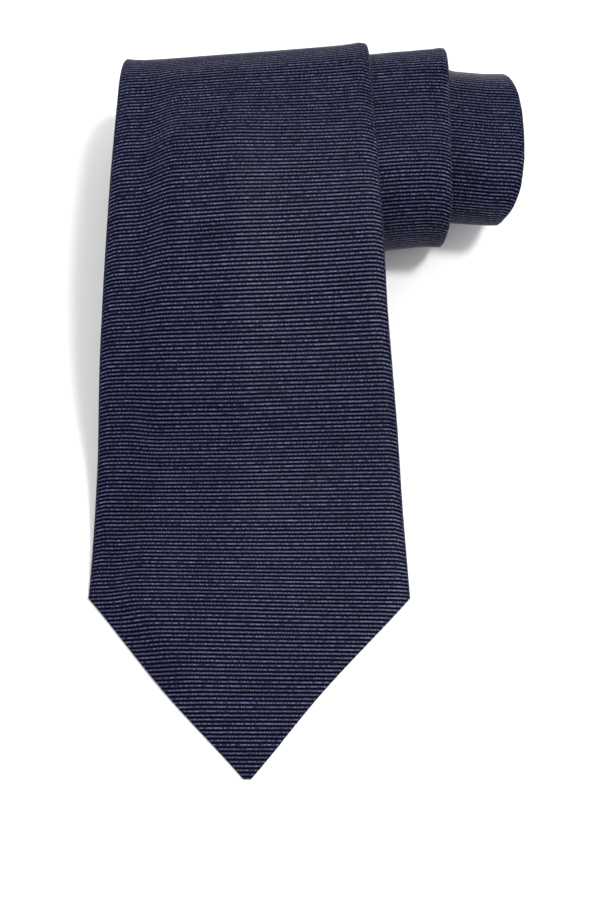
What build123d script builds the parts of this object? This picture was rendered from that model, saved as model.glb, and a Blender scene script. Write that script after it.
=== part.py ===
"""A necktie, rolled up from its narrow end for storage, with the wide blade left out over the roll.

The tie is one long flattened tube.  Its silk shell wraps a woollen interlining, and the two edges of
the shell meet down the middle of the back, where a slip stitch closes them.  The tie starts at the
point of the blade, climbs over the roll, goes down its far side, comes back along the table and is
wound on inwards.  Each of the first turns is set further to the right than the turn around it.

Units are millimetres.  X runs across the tie, +Y from the blade's point towards the roll, +Z up.
The origin is on the table under the roll, on the blade's centreline.  A place along the tie is its
distance from the blade's point.  A depth in the cloth is measured from its middle: positive depths
are towards the tie's back, which faces the inside of the roll.
"""
from build123d import *
import math
import os

# ---- cloth thicknesses ----
SILK = 0.25
INTERLINING = 0.60
CLOTH_GAP = 0.05
POCKET = INTERLINING / 2 + CLOTH_GAP               # half of the space inside the shell
HALF_TIE = POCKET + SILK                           # half of the whole tie's thickness

# ---- outline of the tie ----
BLADE_WIDTH = 85.0
POINT_LENGTH = 47.0              # from the blade's point back to its two corners
BLADE_TAPER = 0.098              # how much narrower the blade gets, per mm of its length
NECK_WIDTH = 33.0
TAIL_WIDTH = 38.0
TAIL_TAPER = 0.03
TAIL_POINT_LENGTH = 19.0
EDGE_WALL = 0.30                 # silk folded round each long edge
SLIT = 1.0                       # gap down the back that the slip stitch closes

# ---- the way the tie lies ----
FLAT_LENGTH = 42.0               # the point of the blade, flat on the table
RISE_LENGTH = 52.0               # blade bending up
CREST_LENGTH = 80.0              # blade bending over towards the top of the roll
TOP_RUN = 17.0                   # blade flat on the top of the roll
STITCH_ROOM = 0.15               # the blade's back is this far above the table
ROLL_RUN = 24.0                  # flat stretch between the roll's two round ends
BACK_RADIUS = 18.9               # first round end, at the back of the roll
SECOND_FRONT_RADIUS = 17.9
SECOND_BACK_RADIUS = 16.9
THIRD_FRONT_RADIUS = 14.6
THIRD_BACK_RADIUS = 13.8
THIRD_SETBACK = 5.0              # the third turn's front lies this much further back
COIL_STEP = 0.65                 # each round end of the tight coil is smaller by this
COIL_SMALLEST = 1.6
SHIFT_SECOND = 25.5              # how far right each turn's middle lies
SHIFT_THIRD = 54.0
SHIFT_COIL = 56.0

# ---- where the tie is divided into bodies, along its length ----
TIP_FOLD = 80.0                  # the point folds up here
BLADE_FOLD = 150.0               # the blade lifts off the roll here
FOLD_GAP = 0.30                  # between two bodies
JOIN_GAP = 0.40                  # between two shells that a seam joins

# ---- small pieces ----
FIT = 0.02                       # air between a small piece and the cloth it lies on
OPENING_HALF = 30.0              # half width of the lining that shows at the blade's back
HEM = 9.0                        # from the blade's point to the lining
TACK_AT = 74.0
TACK_SIZE = (8.0, 1.4, 0.30)     # across, along, thick
THREAD = 0.35
KEEPER_AT = 224.0
KEEPER_BAND = 12.0
KEEPER_SPAN = 50.0
KEEPER_THICK = 0.30
LABEL_AT = 240.0
LABEL_BAND = 14.0
LABEL_SPAN = 42.0
LABEL_THICK = 0.20
TAIL_HEM = 4.0
TAIL_OPENING_HALF = 8.0
STITCH = (0.5, 1.2, 0.08)
HEM_STITCH = (2.0, 0.4, 0.08)
HEM_STITCH_PITCH = 4.0


def blade_width(place):
    """Width of the tie on the blade side, from its corners back to the neck."""
    return max(NECK_WIDTH, BLADE_WIDTH - BLADE_TAPER * (place - POINT_LENGTH))


def width_at(place, length):
    """Width of the tie between the blade's corners and the tail's corners."""
    from_tail = max(0.0, length - TAIL_POINT_LENGTH - place)
    return max(blade_width(place), TAIL_WIDTH - TAIL_TAPER * from_tail)


class Stretch:
    """One arc or straight run of the way the tie lies, with the tie's middle and width at both ends."""

    def __init__(self, place, y, z, heading, length, turn, shift, width):
        self.place, self.y, self.z, self.heading = place, y, z, heading
        self.length, self.turn, self.shift, self.width = length, turn, shift, width

    def at(self, along):
        """(y, z, heading, shift, width) at a distance along this stretch."""
        share = along / self.length
        heading = self.heading + self.turn * share
        if abs(self.turn) < 1e-9:
            y = self.y + along * math.cos(self.heading)
            z = self.z + along * math.sin(self.heading)
        else:
            radius = self.length / self.turn
            y = self.y + radius * (math.sin(heading) - math.sin(self.heading))
            z = self.z - radius * (math.cos(heading) - math.cos(self.heading))
        shift = self.shift[0] + (self.shift[1] - self.shift[0]) * share
        width = self.width[0] + (self.width[1] - self.width[0]) * share
        return y, z, heading, shift, width

    def centre(self):
        """(y, z) of an arc's centre."""
        radius = self.length / self.turn
        return self.y - radius * math.sin(self.heading), self.z + radius * math.cos(self.heading)


def climb_angle():
    """The steepest slope of the blade, which brings it up just to the top of the roll."""
    wanted = (2 * BACK_RADIUS - STITCH_ROOM) / (RISE_LENGTH + CREST_LENGTH)
    low, high = 0.0, 1.5
    for _ in range(50):
        middle = (low + high) / 2
        if (1 - math.cos(middle)) / middle < wanted:
            low = middle
        else:
            high = middle
    return low


def lay_out():
    """All the stretches of the tie, from the blade's point to the end of the tail."""
    climb = climb_angle()
    ends = [(SECOND_FRONT_RADIUS, SHIFT_SECOND), (SECOND_BACK_RADIUS, SHIFT_SECOND),
            (THIRD_FRONT_RADIUS, SHIFT_THIRD), (THIRD_BACK_RADIUS, SHIFT_THIRD)]
    while ends[-1][0] - COIL_STEP > COIL_SMALLEST or len(ends) % 2:
        ends.append((ends[-1][0] - COIL_STEP, SHIFT_COIL))
    plan = [(FLAT_LENGTH, 0.0, 0.0), (RISE_LENGTH, climb, 0.0), (CREST_LENGTH, -climb, 0.0),
            (TOP_RUN, 0.0, 0.0), (math.pi * BACK_RADIUS, -math.pi, 0.0)]
    for number, (radius, shift) in enumerate(ends):
        run = ROLL_RUN if number < 2 else ROLL_RUN - THIRD_SETBACK
        plan.append((run, 0.0, shift))
        plan.append((math.pi * radius, -math.pi, shift))
    plan.append((ROLL_RUN - THIRD_SETBACK + 0.5, 0.0, SHIFT_COIL))

    whole = sum(step[0] for step in plan)
    stretches = []
    place, y, z, heading, shift, width = 0.0, 0.0, HALF_TIE + STITCH_ROOM, 0.0, 0.0, BLADE_WIDTH
    for length, turn, next_shift in plan:
        next_width = width if abs(turn) > 3.0 else width_at(place + length, whole)
        shifts, widths = (shift, next_shift), (width, next_width)
        stretches.append(Stretch(place, y, z, heading, length, turn, shifts, widths))
        y, z, heading, shift, width = stretches[-1].at(length)
        place += length
    under_roll = stretches[5].at(ROLL_RUN / 4)[0]
    for stretch in stretches:
        stretch.y -= under_roll
    return stretches


STRETCHES = lay_out()
TIE_LENGTH = STRETCHES[-1].place + STRETCHES[-1].length


def middle_of(number):
    """The place half way along a stretch."""
    return STRETCHES[number].place + STRETCHES[number].length / 2


SECOND_START = middle_of(5)      # on the table, under the roll
CORE_START = middle_of(9)        # just above it, one turn further in
NECK_START = middle_of(19)
TAIL_START = middle_of(31)


def spot(place):
    """(y, z, heading, shift, width) of the tie's middle at a place along it."""
    for stretch in STRETCHES:
        if place <= stretch.place + stretch.length + 1e-9:
            return stretch.at(place - stretch.place)
    return STRETCHES[-1].at(STRETCHES[-1].length)


def across(y, z, heading):
    """The plane across the tie there: local x is +X and local y points to the back of the tie."""
    forward = (0, math.cos(heading), math.sin(heading))
    return Plane(origin=(0, y, z), x_dir=(1, 0, 0), z_dir=forward)


# ---- sections across the tie ----
def strip(middle, half, low, high):
    """Outline of a flat strip between two depths in the cloth."""
    return [(middle - half, low), (middle + half, low), (middle + half, high), (middle - half, high)]


def shell_section(shift, width):
    """Outline of the silk: a flat tube, open down the middle of its back."""
    half, pocket = width / 2, width / 2 - EDGE_WALL
    right = [(SLIT / 2, HALF_TIE), (half, HALF_TIE), (half, -HALF_TIE)]
    left = [(-x, depth) for x, depth in reversed(right)]
    inside = [(-SLIT / 2, POCKET), (-pocket, POCKET), (-pocket, -POCKET), (pocket, -POCKET),
              (pocket, POCKET), (SLIT / 2, POCKET)]
    return [(shift + x, depth) for x, depth in right + left + inside]


def interlining_section(shift, width):
    """Outline of the interlining, which fills the shell."""
    return strip(shift, width / 2 - EDGE_WALL - CLOTH_GAP, -INTERLINING / 2, INTERLINING / 2)


def thread_section(shift, width):
    """Outline of the slip stitch, lying in the slit between the two edges of the silk."""
    return strip(shift, THREAD / 2, POCKET + FIT, HALF_TIE - FIT)


def straight_block(plane_a, outline_a, plane_b, outline_b):
    """A solid between two matching outlines in parallel planes, with nothing but flat faces."""
    near = [plane_a.from_local_coords((x, depth, 0)) for x, depth in outline_a]
    far = [plane_b.from_local_coords((x, depth, 0)) for x, depth in outline_b]
    rings = [near, far]
    for i, following in enumerate(range(1 - len(near), 1)):
        rings.append([near[i], near[following], far[following], far[i]])
    return Solid(Shell([Face(Wire.make_polygon(ring, close=True)) for ring in rings]))


def along_tie(section, start, end):
    """A solid of one section from place to place: round ends are turned, the rest is ruled."""
    pieces = []
    for stretch in STRETCHES:
        low = max(start, stretch.place)
        high = min(end, stretch.place + stretch.length)
        if high - low < 1e-6:
            continue
        tight = abs(stretch.turn) > 3.0
        steps = 1 if tight else max(1, math.ceil(abs(stretch.turn) / math.radians(5)))
        edges = [low + (high - low) * i / steps for i in range(steps + 1)]
        for first, last in zip(edges, edges[1:]):
            a, b = stretch.at(first - stretch.place), stretch.at(last - stretch.place)
            plane_a, plane_b = across(*a[:3]), across(*b[:3])
            outline_a, outline_b = section(*a[3:]), section(*b[3:])
            if abs(stretch.turn) < 1e-9:
                pieces.append(straight_block(plane_a, outline_a, plane_b, outline_b))
                continue
            face_a = plane_a * make_face(Polyline(*outline_a, close=True))
            face_b = plane_b * make_face(Polyline(*outline_b, close=True))
            if tight:
                axis = Axis((0, *stretch.centre()), (1, 0, 0))
                pieces.append(revolve(face_a, axis, math.degrees(b[2] - a[2])))
            else:
                pieces.append(loft([face_a, face_b], ruled=True))
    return pieces[0].fuse(*pieces[1:]) if len(pieces) > 1 else pieces[0]


# ---- the blade's point, which folds up at TIP_FOLD ----
def slab(end, low, high):
    """A wide slab of the blade from its point to a place, between two depths, to be cut to outline."""
    return along_tie(lambda shift, width: strip(shift, BLADE_WIDTH, low, high), 0, end)


def prism(points):
    """An upright prism over an outline on the table; each point is (x, place along the blade)."""
    outline = [(x, spot(place)[0]) for x, place in points]
    return extrude(make_face(Polyline(*outline, close=True)), 60)


def blade_outline(inset, end):
    """Outline of the blade from its point to a place, drawn in by an inset all round."""
    slant = math.hypot(BLADE_WIDTH / 2, POINT_LENGTH) / (BLADE_WIDTH / 2)
    corner = BLADE_WIDTH / 2 - inset
    shoulder = inset * slant + corner * POINT_LENGTH / (BLADE_WIDTH / 2)
    far = blade_width(end) / 2 - inset
    return [(0, inset * slant), (corner, shoulder), (far, end), (-far, end), (-corner, shoulder)]


def lining_outline(inset):
    """Where the lining shows on the blade's back, between the hems and the two side flaps."""
    side = OPENING_HALF - inset
    low = HEM + inset * 1.5
    shoulder = low + side * POINT_LENGTH / (BLADE_WIDTH / 2)
    return [(0, low), (side, shoulder), (0, TACK_AT - inset * 1.5), (-side, shoulder)]


def blade_tip_shell(end):
    """The silk of the blade's point: front, hems and flaps round the pocket for the interlining."""
    whole = slab(end, -HALF_TIE, HALF_TIE) & prism(blade_outline(0, end))
    room = slab(end, -POCKET, POCKET) & prism(blade_outline(EDGE_WALL, end))
    window = slab(end, POCKET, HALF_TIE) & prism(lining_outline(0))
    slit = [(-SLIT / 2, TACK_AT - 2), (SLIT / 2, TACK_AT - 2), (SLIT / 2, end), (-SLIT / 2, end)]
    return whole - room - window - (slab(end, POCKET, HALF_TIE) & prism(slit))


def blade_tip_interlining(end):
    outline = blade_outline(EDGE_WALL + CLOTH_GAP, end)
    return slab(end, -INTERLINING / 2, INTERLINING / 2) & prism(outline)


def blade_lining():
    return slab(TACK_AT, POCKET + FIT, HALF_TIE - FIT) & prism(lining_outline(0.15))


# ---- small pieces sewn on the back of the tie ----
def on_back(place, x, size, lift=FIT, turn=0):
    """A small block lying on the tie's back at a place: size is (across, along, thick)."""
    y, z, heading, shift, _ = spot(place)
    depth = HALF_TIE + lift + size[2] / 2
    block = Rot(0, turn, 0) * Box(size[0], size[2], size[1])
    return across(y, z, heading) * Pos(shift + x, depth, 0) * block


def hem_stitches():
    """Short stitches that catch the lining to the folded hem, along both sides of the point."""
    slope = POINT_LENGTH / (BLADE_WIDTH / 2)
    angle = math.degrees(math.atan(slope))
    stitches = []
    for side in (-1, 1):
        for number in range(6):
            x = 4 + number * HEM_STITCH_PITCH
            stitches.append(on_back(HEM - 2 + x * slope, side * x, HEM_STITCH, turn=-side * angle))
    return Compound(children=stitches)


def sewn_band(place, band, span, thick):
    """A flat band across the back of the tie, following its curve."""
    low = HALF_TIE + FIT
    return along_tie(lambda shift, width: strip(shift, span / 2, low, low + thick), place, place + band)


def band_stitches(place, band, span, thick):
    """Four stitches over each end of a sewn band."""
    wheres = [place + band * (number + 0.5) / 4 for number in range(4)]
    return Compound(children=[on_back(where, side * (span / 2 - 1.2), STITCH, lift=2 * FIT + thick)
                              for side in (-1, 1) for where in wheres])


# ---- the tail, whose point lies flat in the middle of the coil ----
def tail_prism(points):
    """An upright prism over an outline on the tail; each point is (x, distance from the tail's end)."""
    y, z, heading, shift, _ = spot(TIE_LENGTH)
    back = -math.cos(heading)
    outline = [(shift + x, y + back * distance) for x, distance in points]
    return Pos(0, 0, z - 2 * HALF_TIE) * extrude(make_face(Polyline(*outline, close=True)), 4 * HALF_TIE)


def tail_outline(inset):
    """Outline of the tail's last flat stretch, drawn in by an inset."""
    half = TAIL_WIDTH / 2
    tip = inset * math.hypot(half, TAIL_POINT_LENGTH) / half
    root = TAIL_POINT_LENGTH + tip
    return [(0, tip), (half + 1, root + (1 / half) * TAIL_POINT_LENGTH), (half + 1, 40), (-half - 1, 40),
            (-half - 1, root + (1 / half) * TAIL_POINT_LENGTH)]


def tail_opening(inset):
    """Where the lining shows on the tail's back."""
    side = TAIL_OPENING_HALF - inset
    low = TAIL_HEM + inset * 1.5
    return [(0, low), (side, low + side), (0, TAIL_POINT_LENGTH - 0.5 - inset * 1.5), (-side, low + side)]


def flat_tail(low, high):
    """The tail's last flat stretch between two depths, wide enough to be cut to outline."""
    start = TIE_LENGTH - TAIL_POINT_LENGTH
    return along_tie(lambda shift, width: strip(shift, TAIL_WIDTH, low, high), start, TIE_LENGTH)


def tail_shell():
    """The silk of the tail, with its pointed end closed round the interlining."""
    start = TIE_LENGTH - TAIL_POINT_LENGTH
    shell = along_tie(shell_section, TAIL_START + JOIN_GAP / 2, start)
    half = TAIL_WIDTH / 2
    point = flat_tail(-HALF_TIE, HALF_TIE) & tail_prism([(0, 0), (half, half), (-half, half)])
    inner = half - EDGE_WALL * 2
    room = flat_tail(-POCKET, POCKET) & tail_prism([(0, EDGE_WALL * 2), (inner, half), (-inner, half)])
    window = flat_tail(POCKET, HALF_TIE) & tail_prism(tail_opening(0))
    return shell.fuse(point - room - window)


def coil_interlining():
    """The interlining of the coil, cut to a point inside the tail."""
    strip_part = along_tie(interlining_section, CORE_START + FOLD_GAP / 2, TIE_LENGTH - TAIL_POINT_LENGTH)
    half = TAIL_WIDTH / 2
    inner = half - EDGE_WALL * 2 - CLOTH_GAP
    tip = half - inner
    outline = [(0, tip), (inner, half), (-inner, half)]
    point = flat_tail(-INTERLINING / 2, INTERLINING / 2) & tail_prism(outline)
    return strip_part.fuse(point)


def tail_lining():
    return flat_tail(POCKET + FIT, HALF_TIE - FIT) & tail_prism(tail_opening(0.15))


def seam(place):
    """The thread that joins two shells, in the gap between them."""
    return along_tie(shell_section, place - THREAD / 2, place + THREAD / 2)


def write(shape, name):
    export_step(shape, f"parts/{name}.step")


def main():
    os.makedirs("parts", exist_ok=True)
    half_gap, half_join = FOLD_GAP / 2, JOIN_GAP / 2
    tip_end = TIP_FOLD - half_gap
    write(blade_tip_shell(tip_end), "blade_tip_shell")
    write(blade_tip_interlining(tip_end), "blade_tip_interlining")
    write(blade_lining(), "blade_lining")
    write(hem_stitches(), "blade_hem_stitches")
    write(on_back(TACK_AT, 0, TACK_SIZE), "blade_bar_tack")

    for name, start, end in (("blade", TIP_FOLD, BLADE_FOLD), ("outer_turn", BLADE_FOLD, SECOND_START),
                             ("second_turn", SECOND_START, CORE_START)):
        start, end = start + half_gap, end - half_gap
        write(along_tie(shell_section, start, end), f"{name}_shell")
        write(along_tie(interlining_section, start, end), f"{name}_interlining")
        write(along_tie(thread_section, start, end), f"{name}_slip_stitch")

    keeper = (KEEPER_AT, KEEPER_BAND, KEEPER_SPAN, KEEPER_THICK)
    write(sewn_band(*keeper), "keeper_loop")
    write(band_stitches(*keeper), "keeper_loop_stitches")
    label = (LABEL_AT, LABEL_BAND, LABEL_SPAN, LABEL_THICK)
    write(sewn_band(*label), "blank_label")
    write(band_stitches(*label), "blank_label_stitches")

    core = CORE_START + half_gap
    tail_point = TIE_LENGTH - TAIL_POINT_LENGTH
    write(along_tie(shell_section, core, NECK_START - half_join), "coil_blade_shell")
    write(seam(NECK_START), "blade_neck_seam")
    write(along_tie(shell_section, NECK_START + half_join, TAIL_START - half_join), "neck_shell")
    write(seam(TAIL_START), "neck_tail_seam")
    write(tail_shell(), "tail_shell")
    write(coil_interlining(), "coil_interlining")
    write(along_tie(thread_section, core, tail_point - 1), "coil_slip_stitch")
    write(tail_lining(), "tail_lining")


if __name__ == "__main__":
    main()
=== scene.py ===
"""A rolled silk necktie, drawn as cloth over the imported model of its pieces.

The cloth is one long flattened tube that is laid along a path: out over the table from the blade's
point, up over the roll and then round and round inwards.  Places along it are distances from the
blade's point, and depths are measured from the middle of the cloth towards the tie's back.  Sizes
are in millimetres until a mesh is written, which turns them into metres.
"""
import math

import bpy
import numpy as np
from bpy.props import FloatProperty, FloatVectorProperty, PointerProperty
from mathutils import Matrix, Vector


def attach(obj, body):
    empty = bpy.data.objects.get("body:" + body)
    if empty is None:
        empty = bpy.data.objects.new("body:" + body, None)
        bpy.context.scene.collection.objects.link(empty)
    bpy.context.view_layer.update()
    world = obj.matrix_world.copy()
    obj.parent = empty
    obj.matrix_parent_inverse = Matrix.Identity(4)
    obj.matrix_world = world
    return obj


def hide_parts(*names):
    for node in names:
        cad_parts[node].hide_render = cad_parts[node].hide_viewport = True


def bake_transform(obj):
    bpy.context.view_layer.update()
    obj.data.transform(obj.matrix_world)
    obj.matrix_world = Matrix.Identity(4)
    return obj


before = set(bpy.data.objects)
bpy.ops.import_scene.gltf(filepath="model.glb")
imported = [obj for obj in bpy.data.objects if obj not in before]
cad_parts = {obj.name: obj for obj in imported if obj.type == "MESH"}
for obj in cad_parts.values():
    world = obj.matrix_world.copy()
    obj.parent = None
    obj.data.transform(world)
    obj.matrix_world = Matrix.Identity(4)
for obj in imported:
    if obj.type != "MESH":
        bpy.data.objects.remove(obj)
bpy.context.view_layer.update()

bl_info = {
    "name": "Rolled necktie",
    "version": (1, 0, 0),
    "blender": (4, 5, 0),
    "location": "View3D > Sidebar > Necktie",
    "description": "Builds the cloth, linings and stitches of a rolled silk necktie",
    "category": "Add Mesh",
}

MM = 0.001

# ---- the cloth ----
SILK = 0.25
INTERLINING = 0.60
INTERLINING_INSET = 1.3
CLOTH_GAP = 0.05
POCKET = INTERLINING / 2 + CLOTH_GAP
HALF_TIE = POCKET + SILK
BLADE_WIDTH = 85.0
POINT_LENGTH = 47.0
TAIL_WIDTH = 38.0
TAIL_TAPER = 0.03
TAIL_POINT_LENGTH = 19.0
SLIT = 0.05
OPENING_HALF = 30.0
HEM = 9.0
TACK_AT = 74.0
KEEPER = (224.0, 12.0, 50.0, 0.24, 0.06)     # start, width, span, thickness and how far it stands off
LABEL = (240.0, 14.0, 42.0, 0.14, 0.03)

# ---- the way it lies: lengths and radii of its stretches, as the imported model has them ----
STITCH_ROOM = 0.15
FLAT_LENGTH, RISE_LENGTH, CREST_LENGTH, TOP_RUN = 42.0, 52.0, 80.0, 17.0
ROLL_RUN, THIRD_SETBACK = 24.0, 5.0
BACK_RADIUS = 18.9
END_RADII = [17.9, 16.9, 14.6, 13.8]
COIL_STEP, COIL_SMALLEST = 0.65, 1.6

# ---- places where one piece hands over to the next ----
TIP_FOLD, BLADE_FOLD = 80.0, 150.0
BLADE_CUT = 115.0

# ---- sideways steps of the roll: (place, middle) ----
MIDDLES = [(0, 0.0), (22, -1.3), (47, -0.1), (80, -0.4), (130, -1.3), (210, -1.9), (284, 24.8),
           (376, 25.8), (438, 53.6), (520, 54.6), (620, 56.0), (1400, 56.0)]
# ---- how far each turn's right end slopes in or out: (place, step) ----
SLOPES = [(250, 0.0), (270, -0.5), (297, -2.0), (309, -0.5), (316, 0.0), (332, 0.2), (376, 2.4),
          (390, 2.0), (420, 0.0), (436, -6.5), (445, -6.8), (450, -5.7), (456, -3.4), (462, -1.7),
          (470, -0.5), (478, 0.2), (486, 0.5), (492, 0.2), (504, -1.7), (512, -2.0), (530, -1.6),
          (1400, -1.6)]
# ---- width of the folded tie on the blade side: (place, width) ----
WIDTHS = [(0, 85.3), (47, 85.0), (61, 83.6), (93, 79.8), (125, 75.5), (157, 72.5), (189, 69.8),
          (205, 68.6), (330, 58.0), (560, 33.0), (1400, 33.0)]

# ---- how the cloth lies unevenly: (place, share) says where each effect is felt ----
LIVELY = [(420, 1), (560, 0)]
WAVED = [(185, 1.0), (215, 0.3)]
SLOW_WAVE, SMALL_WAVE = 0.16, 0.06
STRAY = 0.35                                 # how far a rib strays along the tie
EDGE_PULL, EDGE_PULL_REACH = 1.4, 0.9        # how far the ribs are drawn back at the very edge
FLARED = [(140, 0), (190, 0.6), (215, 0.6), (234, 0), (340, 0), (360, 1.2), (382, 1.2), (396, 0),
          (480, 0), (500, 0.4), (512, 0.4), (522, 0)]
FLARE_RISE, FLARE_REACH = 1.6, 3.5
NEAR_TABLE = 0.02

# ---- how the blade's face stands up over its interlining ----
LOFTED = [(10, 0), (50, 1), (172, 1), (200, 0)]
EDGE_RISE, EDGE_REACH = 0.8, 6.0
PLATEAU_RISE, PLATEAU_FALL = 4.3, 0.88
RIDGE_RISE, RIDGE_AT, RIDGE_SPREAD = 0.55, -2.0, 7.0
VALLEY_DEPTH, VALLEY_SPREAD = 0.55, 4.0
VALLEY = [(0, 0.90), (45, 0.86), (60, 0.80), (75, 0.76), (150, 0.70), (250, 0.68)]    # share of half

# ---- how the roll has settled, from its left end to its right: (x, shift) ----
TURNED = [(-45, -4.2), (0, 0.0), (40, 3.8), (48, 4.1), (56, 3.4), (66, 2.0), (90, 0.6)]
LIFTED = [(36, 0.0), (45, 1.6), (56, 3.2), (70, 5.2), (90, 6.0)]
NARROWED = [(30, 0.0), (33, 1.6), (52, 1.6), (56, 1.2)]
ROLL_HEIGHT = 38.0
BOWED = 3.4

# ---- the stage: watts, degrees and metres ----
KEY_POWER, KEY_SIZE, KEY_SPREAD = 235.0, 0.28, 15.0
KEY_AIM, KEY_OFFSET = (0.030, -0.038, 0.0), (0.40, -0.02, 0.90)
SKY_STRENGTH = 1.08
FOCAL_LENGTH, SENSOR_HEIGHT = 37.333, 24.0
VIEW_ELEVATION, VIEW_DISTANCE, VIEW_TARGET = 68.0, 0.3865, (0.0133, -0.0879, 0.0)


def climb_angle():
    """How steeply the cloth climbs from the table, so that it comes out on top of the roll."""
    wanted = (2 * BACK_RADIUS - STITCH_ROOM) / (RISE_LENGTH + CREST_LENGTH)
    low, high = 0.0, 1.5
    for _ in range(50):
        guess = (low + high) / 2
        if (1 - math.cos(guess)) / guess < wanted:
            low = guess
        else:
            high = guess
    return low


def lay_out():
    """Rows of (place, y, z, heading, turn per mm), one for each stretch, and the tie's length."""
    radii = list(END_RADII)
    while radii[-1] - COIL_STEP > COIL_SMALLEST or len(radii) % 2:
        radii.append(radii[-1] - COIL_STEP)
    climb = climb_angle()
    plan = [(FLAT_LENGTH, 0.0), (RISE_LENGTH, climb), (CREST_LENGTH, -climb), (TOP_RUN, 0.0),
            (math.pi * BACK_RADIUS, -math.pi)]
    for number, radius in enumerate(radii):
        plan.append((ROLL_RUN if number < 2 else ROLL_RUN - THIRD_SETBACK, 0.0))
        plan.append((math.pi * radius, -math.pi))
    plan.append((ROLL_RUN - THIRD_SETBACK + 0.5, 0.0))
    rows = []
    place, y, z, heading = 0.0, 0.0, HALF_TIE + STITCH_ROOM, 0.0
    for length, turn in plan:
        bend = turn / length
        rows.append((place, y, z, heading, bend))
        after = heading + turn
        if bend:
            y += (math.sin(after) - math.sin(heading)) / bend
            z -= (math.cos(after) - math.cos(heading)) / bend
        else:
            y += length * math.cos(heading)
            z += length * math.sin(heading)
        place, heading = place + length, after
    rows = np.array(rows)
    under_roll = rows[5, 1] + math.cos(rows[5, 3]) * ROLL_RUN / 4
    rows[:, 1] -= under_roll
    return rows, place


LAID, TIE_LENGTH = lay_out()
STARTS = LAID[:, 0]
SECOND_CUT = STARTS[5]           # where the cloth reaches the table under the roll
SECOND_TOP = STARTS[7]
CORE_CUT = STARTS[9]
CORE_TOP = STARTS[11]
NECK_START = (STARTS[19] + STARTS[20]) / 2
TAIL_START = (STARTS[31] + STARTS[32]) / 2


def path(place):
    """y, z and heading of the middle of the cloth at each place."""
    place = np.asarray(place, float)
    number = np.clip(np.searchsorted(STARTS, place, side="right") - 1, 0, len(LAID) - 1)
    start, y, z, heading, bend = np.moveaxis(LAID[number], -1, 0)
    along = place - start
    after = heading + bend * along
    curved = np.abs(bend) > 1e-9
    safe = np.where(curved, bend, 1.0)
    new_y = np.where(curved, y + (np.sin(after) - np.sin(heading)) / safe, y + along * np.cos(heading))
    new_z = np.where(curved, z - (np.cos(after) - np.cos(heading)) / safe, z + along * np.sin(heading))
    return new_y, new_z, after


def eased(place, marks):
    """A value that passes from mark to mark, level at each one."""
    places, values = np.array(marks, float).T
    number = np.clip(np.searchsorted(places, place, side="right") - 1, 0, len(places) - 2)
    share = ramp(place, places[number], places[number + 1])
    return values[number] + (values[number + 1] - values[number]) * share


def graded(place, marks):
    """A value that passes from mark to mark in straight lines."""
    return np.interp(place, *zip(*marks))


def ramp(value, low, high):
    """0 below low, 1 above high, and smooth in between."""
    share = np.clip((value - low) / (high - low), 0, 1)
    return share * share * (3 - 2 * share)


def middle(place):
    """Where the middle of the tie lies, left or right, at each place."""
    return eased(place, MIDDLES) + graded(place, SLOPES)


def half_width(place):
    """Half the width of the folded tie at each place."""
    blade = graded(place, WIDTHS)
    tail = TAIL_WIDTH - TAIL_TAPER * np.maximum(0, TIE_LENGTH - TAIL_POINT_LENGTH - place)
    whole = np.maximum(blade, tail) / 2
    point = 1.0 + (BLADE_WIDTH / 2 - 1.0) * place / POINT_LENGTH
    tail_point = 0.8 + (TAIL_WIDTH / 2) * (TIE_LENGTH - place) / TAIL_POINT_LENGTH
    return np.minimum(np.minimum(whole, point), np.maximum(0.7, tail_point))


def opening(place):
    """Half the gap between the two flaps on the back, which widens where the lining shows."""
    shoulder = HEM + OPENING_HALF * POINT_LENGTH / (BLADE_WIDTH / 2)
    marks = [0, HEM, shoulder, TACK_AT, TACK_AT + 2, TIE_LENGTH]
    gap = np.interp(place, marks, [0, 0, OPENING_HALF, 0.6, SLIT, SLIT])
    end = TIE_LENGTH
    tail = np.interp(place, [end - TAIL_POINT_LENGTH, end - 12, end - 4, end], [0, 8, 0, 0])
    closed = np.interp(place, [end - 22, end - 19], [1, 0])
    return np.where(place > end - 22, gap * closed + tail, gap)


def waves(x, place):
    """Soft unevenness of lying cloth, as a depth."""
    slow = np.sin(place / 13.0 + x / 41.0) * np.sin(x / 17.0 - place / 57.0 + 0.8)
    small = np.sin(place / 5.3 - x / 19.0 + 2.0) * np.sin(x / 9.0 + place / 23.0)
    return graded(place, WAVED) * (SLOW_WAVE * slow + SMALL_WAVE * small)


def loft(x, half, place):
    """How far the face of the blade stands up over its interlining, as a depth: it is rounded
    towards both edges and has a shallow valley near the left one."""
    body = np.clip((half - np.abs(x)) / EDGE_REACH, 0, 1)
    valley_x = -half * graded(place, VALLEY)
    rounding = EDGE_RISE * body * (2 - body)
    plateau = PLATEAU_RISE * ramp(x - valley_x, -3.5, 7) * (1 - PLATEAU_FALL * ramp(x, -26, half))
    ridge = RIDGE_RISE * np.exp(-((x - RIDGE_AT) / RIDGE_SPREAD) ** 2) * ramp(place, 50, 90)
    valley = VALLEY_DEPTH * np.exp(-((x - valley_x) / VALLEY_SPREAD) ** 2) * body
    return -graded(place, LOFTED) * np.maximum(rounding + plateau + ridge - valley, 0)


def flare(x, half, place):
    """The edges of the cloth stand out a little where it turns over the back of the roll."""
    return -FLARE_RISE * graded(place, FLARED) * np.exp(-(half - np.abs(x)) / FLARE_REACH)


def stray(x, half, place):
    """How far the ribs stray along the tie from where they would lie straight."""
    astray = STRAY * np.sin(x / 23.0 + place / 31.0) * np.sin(place / 17.0 + 1.0) * ramp(place, 40, 60)
    pulled = EDGE_PULL * np.exp(-(half - np.abs(x)) / EDGE_PULL_REACH) * ramp(place, 44, 64)
    return astray - pulled


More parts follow.
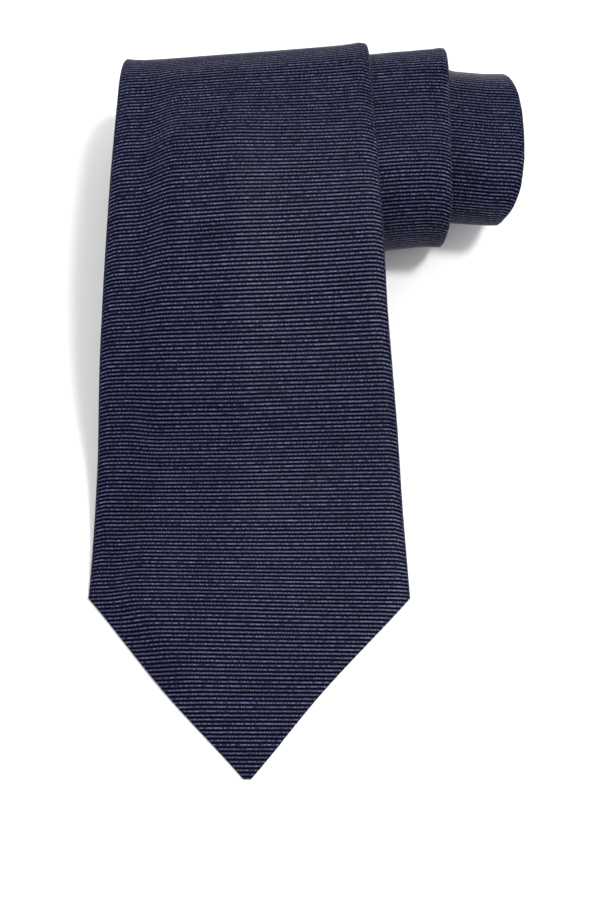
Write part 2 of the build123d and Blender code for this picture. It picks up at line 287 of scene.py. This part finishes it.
def settle(x, y, z):
    """The roll as it has settled: turned a little on the table, and smaller towards its right end."""
    in_roll = ramp(y, -110, -30)
    lifted = graded(x, LIFTED) * ramp(y, -60, -35) * np.clip(1 - z / ROLL_HEIGHT, 0, 1)
    narrowed = graded(x, NARROWED) * np.clip((y + 32) / 59, 0, 1)
    bowed = BOWED * ramp(x, 52, 58) * np.clip((y + 14) / 32, 0, 1.1) ** 2 * z / 34
    return np.stack([x, y + (graded(x, TURNED) - narrowed) * in_roll, z + lifted - bowed], axis=-1)


def lay(x, depth, place):
    """Coordinates, in metres, of points in the cloth; x is measured from the middle of the tie."""
    half = half_width(place)
    lively = graded(place, LIVELY)
    on_face = np.clip(-(depth + 0.3) / 0.15, 0, 1)
    lowest = NEAR_TABLE + 0.8 * np.clip(HALF_TIE - np.abs(depth), 0, 1)
    depth = depth + on_face * loft(x, half, place) + lively * (waves(x, place) + flare(x, half, place))
    y, z, heading = path(np.clip(place + lively * stray(x, half, place), 0, TIE_LENGTH))
    y = y + np.sin(heading) * depth
    z = z - np.cos(heading) * depth
    return settle(x + middle(place), y, np.maximum(z, lowest)) * MM


def grid_mesh(name, points, uv, wrap=False, flip=False):
    """A mesh piece from a grid of points (rows, columns, 3) with its own map of the flat cloth.

    A wrapped grid is closed round its columns and capped at both ends, where its first column has
    to mirror its last."""
    rows, columns = points.shape[:2]
    index = np.arange(rows * columns).reshape(rows, columns)
    closed = np.concatenate([index, index[:, :1]], axis=1) if wrap else index
    quads = np.stack([closed[:-1, :-1], closed[:-1, 1:], closed[1:, 1:], closed[1:, :-1]], axis=-1)
    quads = quads.reshape(-1, 4)
    if wrap:
        near = np.arange(columns // 2 - 1)
        cap = np.stack([near, near + 1, columns - 2 - near, columns - 1 - near], axis=-1)
        quads = np.concatenate([quads, index[0][cap][:, ::-1], index[-1][cap]])
    if flip:
        quads = quads[:, ::-1]
    return raw_mesh(name, points.reshape(-1, 3), quads, uv.reshape(-1, 2))


def raw_mesh(name, points, quads, uv):
    """A smooth mesh piece from points, faces of four points, and each point's place on the flat cloth."""
    mesh = bpy.data.meshes.new(name)
    mesh.vertices.add(len(points))
    mesh.vertices.foreach_set("co", points.astype(np.float32).ravel())
    mesh.loops.add(quads.size)
    mesh.loops.foreach_set("vertex_index", quads.ravel().astype(np.int32))
    mesh.polygons.add(len(quads))
    mesh.polygons.foreach_set("loop_start", np.arange(0, quads.size, 4, dtype=np.int32))
    mesh.polygons.foreach_set("use_smooth", np.ones(len(quads), bool))
    layer = mesh.uv_layers.new(name="Cloth")
    layer.data.foreach_set("uv", uv[quads.ravel()].astype(np.float32).ravel())
    mesh.update(calc_edges=True)
    mesh.validate()
    piece = bpy.data.objects.new(name, mesh)
    bpy.context.scene.collection.objects.link(piece)
    return piece


# ---- the silk ----
FRONT_COLUMNS, BACK_COLUMNS, EDGE_COLUMNS = 44, 9, 7
ROLLED_EDGE = 0.8


def silk_contour(place):
    """x and depth of every column round the folded silk, for an array of places."""
    half, gap = half_width(place)[:, None], opening(place)[:, None]
    edge = np.minimum(HALF_TIE, half * 0.8)
    roll = np.minimum(ROLLED_EDGE, half * 0.8)
    flat = half - roll
    gap = np.minimum(gap, flat)
    share = np.linspace(0, 1, BACK_COLUMNS)[None]
    angle = np.linspace(75, -75, EDGE_COLUMNS)[None] * math.pi / 180
    across = np.linspace(-1, 1, FRONT_COLUMNS)[None]
    flap_x = gap + share * (flat - gap)
    flap_depth = np.broadcast_to(edge, flap_x.shape)
    rim_x, rim_depth = flat + roll * np.cos(angle), edge * np.sin(angle)
    lip_x, lip_depth = gap + 0.02, edge * 0.55
    right_x = np.concatenate([lip_x, flap_x, rim_x], axis=1)
    right_depth = np.concatenate([lip_depth, flap_depth, rim_depth], axis=1)
    front_x = across * flat
    front_depth = np.broadcast_to(-edge, front_x.shape)
    x = np.concatenate([-right_x, front_x, right_x[:, ::-1]], axis=1)
    depth = np.concatenate([right_depth, front_depth, right_depth[:, ::-1]], axis=1)
    return x, depth


def silk_piece(name, start, end, pitch, relief, fine=True):
    """The silk between two places, with its ribs standing up across it."""
    step = pitch / 4 if fine else 1.6
    first, last = round(start / step), round(end / step)
    place = np.concatenate([[start], np.arange(first + 1, last) * step, [end]])
    x, depth = silk_contour(place)
    grid = np.broadcast_to(place[:, None], x.shape)
    if fine:
        rib = 0.5 + 0.5 * np.cos(grid / pitch * 2 * math.pi)
        depth = depth + np.sign(depth) * relief * (rib - 0.5) * np.clip(np.abs(depth) / HALF_TIE, 0, 1)
    points = lay(x, depth, grid)
    uv = np.stack([x * MM + 0.1, grid * MM], axis=-1)
    return grid_mesh(name, points, uv)


def inner_strip(name, start, end, inset, thick):
    """A closed flat strip inside the silk, such as the interlining."""
    place = np.linspace(start, end, max(3, int((end - start) / 3)))
    half = np.maximum(half_width(place) - inset, 0.4)[:, None]
    across = np.linspace(-1, 1, FRONT_COLUMNS)[None]
    top, bottom = across * half, across[:, ::-1] * half
    x = np.concatenate([top, bottom], axis=1)
    depth = np.concatenate([np.full(top.shape, -thick / 2), np.full(top.shape, thick / 2)], axis=1)
    grid = np.broadcast_to(place[:, None], x.shape)
    points = lay(x, depth, grid)
    uv = np.stack([x * MM + 0.1, grid * MM], axis=-1)
    return grid_mesh(name, points, uv, wrap=True)


def lining_patch(name, start, end, depth):
    """The lining that shows between the two flaps on the back of a pointed end."""
    place = np.linspace(start, end, 90)
    reach = np.minimum(opening(place) + 1.5, half_width(place) - 1.0)[:, None]
    x = np.linspace(-1, 1, 40)[None] * reach
    grid = np.broadcast_to(place[:, None], x.shape)
    points = lay(x, np.full(x.shape, depth), grid)
    uv = np.stack([x * MM + 0.1, grid * MM], axis=-1)
    return grid_mesh(name, points, uv, flip=True)


def sewn_band(name, start, width, span, low, thick, bulge):
    """A flat band sewn across the back of the tie, standing off it a little between its ends."""
    x = np.linspace(-span / 2, span / 2, 48)[:, None]
    angle = (np.arange(28) + 0.5)[None] * 2 * math.pi / 28
    round_x = np.sign(np.cos(angle)) * np.abs(np.cos(angle)) ** 0.35
    round_y = np.sign(np.sin(angle)) * np.abs(np.sin(angle)) ** 0.6
    stand = low + bulge * (1 - (2 * x / span) ** 4)
    grid = start + width / 2 + round_x * width / 2 + x * 0
    depth = stand + thick / 2 + round_y * thick / 2
    across = np.broadcast_to(x, grid.shape)
    points = lay(across, depth, grid)
    uv = np.stack([across * MM + 0.1, grid * MM], axis=-1)
    return grid_mesh(name, points, uv, wrap=True, flip=True)


def thread_piece(name, runs, radius):
    """One mesh of short tubes of thread; each run is a list of (x, depth, place) points."""
    sides = 6
    points, quads, uv = [], [], []
    around = np.arange(sides) * 2 * math.pi / sides
    for run in runs:
        run = np.array(run, float)
        ahead = np.gradient(run, axis=0)
        ahead /= np.linalg.norm(ahead, axis=1)[:, None]
        side = np.cross(ahead, [0.0, 1.0, 0.0])
        up = np.cross(side, ahead)
        girth = np.full(len(run), radius)
        girth[[0, -1]] = radius * 0.35
        ring = (run[:, None] + (np.cos(around)[None, :, None] * side[:, None]
                                + np.sin(around)[None, :, None] * up[:, None]) * girth[:, None, None])
        base = sum(len(part) for part in points)
        index = base + np.arange(len(run) * sides).reshape(len(run), sides)
        index = np.concatenate([index, index[:, :1]], axis=1)
        quads.append(np.stack([index[:-1, :-1], index[:-1, 1:], index[1:, 1:], index[1:, :-1]],
                              axis=-1).reshape(-1, 4))
        ring = ring.reshape(-1, 3)
        points.append(lay(ring[:, 0], ring[:, 1], ring[:, 2]))
        uv.append(ring[:, [0, 2]] * MM + 0.1)
    return raw_mesh(name, np.concatenate(points), np.concatenate(quads), np.concatenate(uv))


def slip_runs(start, end, pitch=6.0):
    """Slanting stitches down the middle of the back."""
    first = math.ceil(start / pitch)
    places = [n * pitch for n in range(first, int(end / pitch) + 1) if start + 2 < n * pitch < end - 2]
    return [[(-0.5, 0.50, p - 1.3), (-0.25, 0.66, p - 0.6), (0.25, 0.66, p + 0.6), (0.5, 0.50, p + 1.3)]
            for p in places]


def tack_runs(place, width, rows):
    """A bar of close stitches across the place where the two flaps meet."""
    return [[(-width / 2, 0.55, p), (-width / 4, 0.72, p + 0.05), (width / 4, 0.72, p - 0.05),
             (width / 2, 0.55, p)] for p in place + (np.arange(rows) - (rows - 1) / 2) * 0.28]


def hem_runs(low, slope, side_half, step):
    """Short stitches that catch the lining to the hem on both sides of a point."""
    runs = []
    for side in (-1, 1):
        for x in np.arange(2.5, side_half, step):
            p = low - 0.6 + x * slope
            runs.append([(side * x, 0.55, p - 0.7), (side * (x + 0.3), 0.68, p),
                         (side * (x + 0.6), 0.48, p + 1.0)])
    return runs


def end_runs(start, width, span, depth):
    """Stitches over both ends of a sewn band."""
    runs = []
    for side in (-1, 1):
        for p in np.linspace(start + 1.2, start + width - 1.2, 7):
            x = side * (span / 2 - 0.9)
            runs.append([(x - 0.9, depth - 0.05, p), (x, depth + 0.1, p), (x + 0.9, depth - 0.05, p)])
    return runs


def seam_runs(place):
    """The line of thread where two lengths of silk are joined, front and back."""
    half = float(half_width(np.array(place))) - 0.7
    x = np.linspace(-half, half, 30)
    return [[(v, side * HALF_TIE, place) for v in x[::side]] for side in (-1, 1)]


# ---- materials ----
def linear(colour):
    """An sRGB hex colour as linear red, green, blue and alpha."""
    parts = [int(colour[i:i + 2], 16) / 255 for i in (1, 3, 5)]
    return [c / 12.92 if c <= 0.04045 else ((c + 0.055) / 1.055) ** 2.4 for c in parts] + [1.0]


def add_node(tree, kind, inputs=(), **settings):
    """A shader node with its settings, and its sockets set to values or linked to other sockets."""
    node = tree.nodes.new(kind)
    for key, value in settings.items():
        setattr(node, key, value)
    for key, value in dict(inputs).items():
        if isinstance(value, bpy.types.NodeSocket):
            tree.links.new(value, node.inputs[key])
        else:
            node.inputs[key].default_value = value
    return node


def new_material(name):
    """An empty material and its node tree."""
    material = bpy.data.materials.new(name)
    material.use_nodes = True
    material.node_tree.nodes.clear()
    return material, material.node_tree


def silk_material(look):
    """Ribbed silk with painted light: a painted highlight on the rib crests, broken up by bright warp
    specks, and painted shade of deep navy in the grooves between them.
    """
    material, tree = new_material("Ribbed navy silk")
    uv = add_node(tree, "ShaderNodeUVMap", uv_map="Cloth").outputs["UV"]
    parts = add_node(tree, "ShaderNodeSeparateXYZ", {"Vector": uv})
    turns = add_node(tree, "ShaderNodeMath", {0: parts.outputs["Y"], 1: 2 * math.pi / look.rib_pitch},
                     operation="MULTIPLY")
    wave = add_node(tree, "ShaderNodeMath", {0: turns.outputs[0]}, operation="COSINE")
    # rib runs from 0 in each groove to 1 on each crest and sets how much painted shade or painted highlight
    # the colour carries
    rib = add_node(tree, "ShaderNodeMapRange", {"Value": wave.outputs[0], 1: -1.0, 2: 1.0})
    fine = add_node(tree, "ShaderNodeMapping", {"Vector": uv, "Scale": (3300, 1700, 1)})
    speck = add_node(tree, "ShaderNodeTexNoise",
                     {"Vector": fine.outputs[0], "Scale": 1.0, "Detail": 2.0, "Roughness": 0.6},
                     noise_dimensions="2D")
    slow = add_node(tree, "ShaderNodeMapping", {"Vector": uv, "Scale": (60, 500, 1)})
    drift = add_node(tree, "ShaderNodeTexNoise",
                     {"Vector": slow.outputs[0], "Scale": 1.0, "Detail": 2.0}, noise_dimensions="2D")
    speck_gain = add_node(tree, "ShaderNodeMapRange",
                          {"Value": speck.outputs[0], 1: 0.32, 2: 0.68, 3: 0.55, 4: 1.25})
    drift_gain = add_node(tree, "ShaderNodeMapRange",
                          {"Value": drift.outputs[0], 1: 0.3, 2: 0.7, 3: 0.95, 4: 1.04})
    gain = add_node(tree, "ShaderNodeMath", {0: speck_gain.outputs[0], 1: drift_gain.outputs[0]},
                    operation="MULTIPLY")
    level = add_node(tree, "ShaderNodeMath", {0: rib.outputs[0], 1: gain.outputs[0]},
                     operation="MULTIPLY", use_clamp=True)
    # the ramp paints light and shade along each rib: painted shade in the groove, the silk's navy on the
    # flanks, a painted lighter tone on the rib and a painted highlight on the crest
    colour = add_node(tree, "ShaderNodeValToRGB", {0: level.outputs[0]})
    stops = colour.color_ramp.elements
    stops[0].color, stops[1].color = list(look.groove_shade_colour), list(look.crest_highlight_colour)
    for place, shade in ((0.58, look.silk_colour), (0.86, look.rib_lit_colour)):
        stops.new(place).color = list(shade)
    bump = add_node(tree, "ShaderNodeBump", {"Height": speck.outputs[0], "Strength": 0.3,
                                              "Distance": 0.0001})
    gloss = add_node(tree, "ShaderNodeMapRange", {"Value": level.outputs[0], 3: 0.0, 4: 0.22})
    shader = add_node(tree, "ShaderNodeBsdfPrincipled",
                      {"Base Color": colour.outputs[0], "Roughness": 0.42,
                       "Specular IOR Level": gloss.outputs[0], "Normal": bump.outputs[0]})
    add_node(tree, "ShaderNodeOutputMaterial", {"Surface": shader.outputs[0]})
    return material


def plain_material(name, colour, roughness, sheen, scale):
    """A plain woven cloth with a faint weave."""
    material, tree = new_material(name)
    uv = add_node(tree, "ShaderNodeUVMap", uv_map="Cloth").outputs["UV"]
    noise = add_node(tree, "ShaderNodeTexNoise", {"Vector": uv, "Scale": scale, "Detail": 3.0})
    bump = add_node(tree, "ShaderNodeBump", {"Height": noise.outputs[0], "Strength": 0.25,
                                             "Distance": 0.0002})
    shader = add_node(tree, "ShaderNodeBsdfPrincipled",
                      {"Base Color": colour, "Roughness": roughness, "Sheen Weight": sheen,
                       "Specular IOR Level": 0.25, "Normal": bump.outputs[0]})
    add_node(tree, "ShaderNodeOutputMaterial", {"Surface": shader.outputs[0]})
    return material


def dress(piece, material):
    """Gives a piece its material."""
    piece.data.materials.append(material)
    return piece


def spans():
    """The lengths of cloth: name, start, end, the one or two bodies that carry it, and the places
    where the bend between two bodies starts and ends."""
    return [
        ("tip", 0.0, BLADE_CUT, "blade_tip", "blade", (TIP_FOLD - 9, TIP_FOLD + 9)),
        ("blade", BLADE_CUT, STARTS[4], "blade", "outer_turn", (BLADE_FOLD - 11, BLADE_FOLD + 11)),
        ("outer_turn", STARTS[4], SECOND_CUT, "outer_turn", None, None),
        ("second_turn_front", SECOND_CUT, SECOND_TOP, "outer_turn", "second_turn",
         (SECOND_CUT, SECOND_CUT + 13)),
        ("second_turn_back", SECOND_TOP, CORE_CUT, "second_turn", None, None),
        ("third_turn_front", CORE_CUT, CORE_TOP, "second_turn", "coil", (CORE_CUT, CORE_CUT + 10)),
        ("coil", CORE_TOP, NECK_START, "coil", None, None),
        ("neck", NECK_START, TAIL_START, "coil", None, None),
        ("tail", TAIL_START, TIE_LENGTH, "coil", None, None),
    ]


def hold(piece, span):
    """Makes a piece of cloth follow its body; a piece between two bodies is only baked where it lies and
    does not bend.
    """
    _, _, _, body, other, bend = span
    if other is None:
        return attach(piece, body)
    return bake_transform(piece)


SILK_NODES = {
    "tip": ["blade_tip_shell"], "blade": ["blade_shell"], "outer_turn": ["outer_turn_shell"],
    "second_turn_front": ["second_turn_shell"], "coil": ["coil_blade_shell"], "neck": ["neck_shell"],
    "tail": ["tail_shell"]}
INTERLINING_NODES = {
    "tip": ["blade_tip_interlining"], "blade": ["blade_interlining"],
    "outer_turn": ["outer_turn_interlining"], "second_turn_front": ["second_turn_interlining"],
    "coil": ["coil_interlining"]}


class NecktieLook(bpy.types.PropertyGroup):
    """Sizes and colours a user may want to change."""
    rib_pitch: FloatProperty(name="Rib pitch", description="Distance from one rib to the next",
                             default=0.00106, min=0.0005, max=0.003, unit="LENGTH", precision=5)
    rib_relief: FloatProperty(name="Rib height", description="How far the ribs stand out of the silk",
                              default=0.00016, min=0.0, max=0.0006, unit="LENGTH", precision=5)
    # painted highlight on the rib crests
    crest_highlight_colour: FloatVectorProperty(name="Crest colour", description="Painted highlight on the rib crests, with warp specks",
                                      subtype="COLOR", size=4, min=0, max=1, default=linear("#5b5d7e"))
    # painted lighter tone of the navy on the ribs
    rib_lit_colour: FloatVectorProperty(name="Rib colour", description="Colour of the ribs",
                                    subtype="COLOR", size=4, min=0, max=1, default=linear("#181b38"))
    silk_colour: FloatVectorProperty(name="Silk colour", description="Colour of the ribs' flanks",
                                     subtype="COLOR", size=4, min=0, max=1, default=linear("#080b23"))
    # painted shade in the grooves between the ribs
    groove_shade_colour: FloatVectorProperty(name="Groove colour", description="Painted shade in the grooves between the ribs",
                                       subtype="COLOR", size=4, min=0, max=1, default=linear("#02030d"))
    lining_colour: FloatVectorProperty(name="Lining colour", description="Colour of the blade's lining",
                                       subtype="COLOR", size=4, min=0, max=1, default=linear("#111424"))
    floor_colour: FloatVectorProperty(name="Floor colour", description="Colour of the studio floor",
                                      subtype="COLOR", size=4, min=0, max=1, default=linear("#f4f4f4"))


class NECKTIE_OT_silk(bpy.types.Operator):
    """Lays the ribbed silk of the tie, from the blade's point to the end of the tail"""
    bl_idname = "necktie.silk"
    bl_label = "Silk"

    def execute(self, context):
        look = context.scene.necktie_look
        pitch, relief = look.rib_pitch / MM, look.rib_relief / MM
        material = silk_material(look)
        for span in spans():
            name, start, end = span[:3]
            fine = end < 700
            piece = silk_piece(f"{name}_silk", start, end, pitch, relief, fine)
            dress(piece, material)
            hold(piece, span)
            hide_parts(*SILK_NODES.get(name, []))
        return {"FINISHED"}


class NECKTIE_OT_interlining(bpy.types.Operator):
    """Lays the woollen interlining inside the silk"""
    bl_idname = "necktie.interlining"
    bl_label = "Interlining"

    def execute(self, context):
        material = plain_material("Brushed wool interlining", linear("#d8d2c2"), 0.95, 0.4, 900)
        for span in spans():
            name, start, end = span[:3]
            start, end = max(start, 2.5), min(end, TIE_LENGTH - 2.5)
            piece = inner_strip(f"{name}_wool", start, end, INTERLINING_INSET, INTERLINING - 0.1)
            dress(piece, material)
            hold(piece, span)
            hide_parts(*INTERLINING_NODES.get(name, []))
        return {"FINISHED"}


class NECKTIE_OT_lining(bpy.types.Operator):
    """Lays the satin lining that shows on the back of both points"""
    bl_idname = "necktie.lining"
    bl_label = "Linings"

    def execute(self, context):
        colour = list(context.scene.necktie_look.lining_colour)
        material = plain_material("Plain navy satin", colour, 0.4, 0.0, 1500)
        blade = lining_patch("blade_lining_satin", HEM - 2, TACK_AT + 1, POCKET + 0.08)
        dress(blade, material)
        hold(blade, spans()[0])
        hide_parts("blade_lining")
        tail = lining_patch("tail_lining_satin", TIE_LENGTH - TAIL_POINT_LENGTH, TIE_LENGTH - 3,
                            POCKET + 0.08)
        dress(tail, material)
        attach(tail, "coil")
        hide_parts("tail_lining")
        return {"FINISHED"}


class NECKTIE_OT_stitches(bpy.types.Operator):
    """Sews the slip stitch, the bar tack, the hem stitches and the seams"""
    bl_idname = "necktie.stitches"
    bl_label = "Stitches"

    def execute(self, context):
        material = plain_material("Navy sewing thread", linear("#1c2036"), 0.55, 0.2, 4000)
        nodes = {"blade": "blade_slip_stitch", "outer_turn": "outer_turn_slip_stitch",
                 "second_turn_front": "second_turn_slip_stitch", "coil": "coil_slip_stitch"}
        for span in spans():
            name, start, end = span[:3]
            start, end = max(start, TACK_AT + 4), min(end, TIE_LENGTH - 22)
            piece = thread_piece(f"{name}_slip_thread", slip_runs(start, end), 0.16)
            dress(piece, material)
            hold(piece, span)
            if name in nodes:
                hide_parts(nodes[name])
        slope = POINT_LENGTH / (BLADE_WIDTH / 2)
        whole = spans()
        for name, runs, radius, span in (
                ("blade_bar_tack", tack_runs(TACK_AT, 8.0, 6), 0.17, whole[0]),
                ("blade_hem_stitches", hem_runs(HEM, slope, 28.0, 3.0), 0.14, whole[0]),
                ("blade_neck_seam", seam_runs(NECK_START), 0.16, whole[6]),
                ("neck_tail_seam", seam_runs(TAIL_START), 0.16, whole[7])):
            piece = thread_piece(f"{name}_thread", runs, radius)
            dress(piece, material)
            hold(piece, span)
            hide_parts(name)
        return {"FINISHED"}


class NECKTIE_OT_back_pieces(bpy.types.Operator):
    """Sews the keeper loop and the blank label on the back of the blade"""
    bl_idname = "necktie.back_pieces"
    bl_label = "Keeper loop and label"

    def execute(self, context):
        look = context.scene.necktie_look
        silk = silk_material(look)
        satin = plain_material("Blank woven label satin", linear("#d9d6cd"), 0.4, 0.2, 2500)
        thread = plain_material("Label thread", linear("#1c2036"), 0.55, 0.2, 4000)
        for name, band, material, slot in (
                ("keeper_loop", KEEPER, silk, "ribbed_silk"), ("blank_label", LABEL, satin, "label_satin")):
            start, width, across, thick, bulge = band
            piece = sewn_band(f"{name}_cloth", start, width, across, HALF_TIE + 0.06, thick, bulge)
            dress(piece, material)
            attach(piece, "outer_turn")
            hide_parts(name)
            depth = HALF_TIE + 0.06 + thick
            stitches = thread_piece(f"{name}_thread", end_runs(start, width, across, depth), 0.13)
            dress(stitches, thread)
            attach(stitches, "outer_turn")
            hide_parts(f"{name}_stitches")
        return {"FINISHED"}


class NECKTIE_OT_stage(bpy.types.Operator):
    """Sets up the floor, the soft studio lights and the camera"""
    bl_idname = "necktie.stage"
    bl_label = "Stage"

    def execute(self, context):
        look = context.scene.necktie_look
        bpy.ops.mesh.primitive_plane_add(size=6, location=(0, 0, 0))
        floor = context.object
        floor.name = "studio_floor"
        material, tree = new_material("Studio floor")
        shader = add_node(tree, "ShaderNodeBsdfPrincipled",
                          {"Base Color": list(look.floor_colour), "Roughness": 0.9})
        add_node(tree, "ShaderNodeOutputMaterial", {"Surface": shader.outputs[0]})
        floor.data.materials.append(material)
        world = bpy.data.worlds.new("Studio")
        world.use_nodes = True
        world.node_tree.nodes["Background"].inputs[0].default_value = (1, 1, 1, 1)
        world.node_tree.nodes["Background"].inputs[1].default_value = SKY_STRENGTH
        context.scene.world = world
        key_data = bpy.data.lights.new("key", "SPOT")
        key_data.energy, key_data.shadow_soft_size = KEY_POWER, KEY_SIZE
        key_data.spot_size, key_data.spot_blend = math.radians(KEY_SPREAD), 1.0
        key = bpy.data.objects.new("key", key_data)
        aim = Vector(KEY_AIM)
        key.location = aim + Vector(KEY_OFFSET)
        key.rotation_euler = (aim - key.location).to_track_quat("-Z", "Y").to_euler()
        context.scene.collection.objects.link(key)
        camera_data = bpy.data.cameras.new("Camera")
        camera_data.sensor_fit = "VERTICAL"
        camera_data.sensor_height = SENSOR_HEIGHT
        camera_data.lens = FOCAL_LENGTH
        camera = bpy.data.objects.new("Camera", camera_data)
        elevation = math.radians(VIEW_ELEVATION)
        away = Vector((0, -math.cos(elevation), math.sin(elevation))) * VIEW_DISTANCE
        camera.location = Vector(VIEW_TARGET) + away
        camera.rotation_euler = (math.pi / 2 - elevation, 0, 0)
        context.scene.collection.objects.link(camera)
        context.scene.camera = camera
        context.scene.view_settings.view_transform = "Standard"
        return {"FINISHED"}


class NECKTIE_PT_panel(bpy.types.Panel):
    """Lists the pieces of the necktie"""
    bl_idname = "NECKTIE_PT_panel"
    bl_label = "Necktie"
    bl_space_type = "VIEW_3D"
    bl_region_type = "UI"
    bl_category = "Necktie"

    def draw(self, context):
        look = context.scene.necktie_look
        for name in NecktieLook.__annotations__:
            self.layout.prop(look, name)
        for operator in OPERATORS:
            self.layout.operator(operator.bl_idname)


OPERATORS = (NECKTIE_OT_silk, NECKTIE_OT_interlining, NECKTIE_OT_lining, NECKTIE_OT_stitches,
             NECKTIE_OT_back_pieces, NECKTIE_OT_stage)
CLASSES = (NecktieLook, *OPERATORS, NECKTIE_PT_panel)


def register():
    for cls in CLASSES:
        bpy.utils.register_class(cls)
    bpy.types.Scene.necktie_look = PointerProperty(type=NecktieLook)


def unregister():
    del bpy.types.Scene.necktie_look
    for cls in reversed(CLASSES):
        bpy.utils.unregister_class(cls)


def main():
    register()
    for operator in OPERATORS:
        group, name = operator.bl_idname.split(".")
        getattr(getattr(bpy.ops, group), name)()


if __name__ == "__main__":
    main()
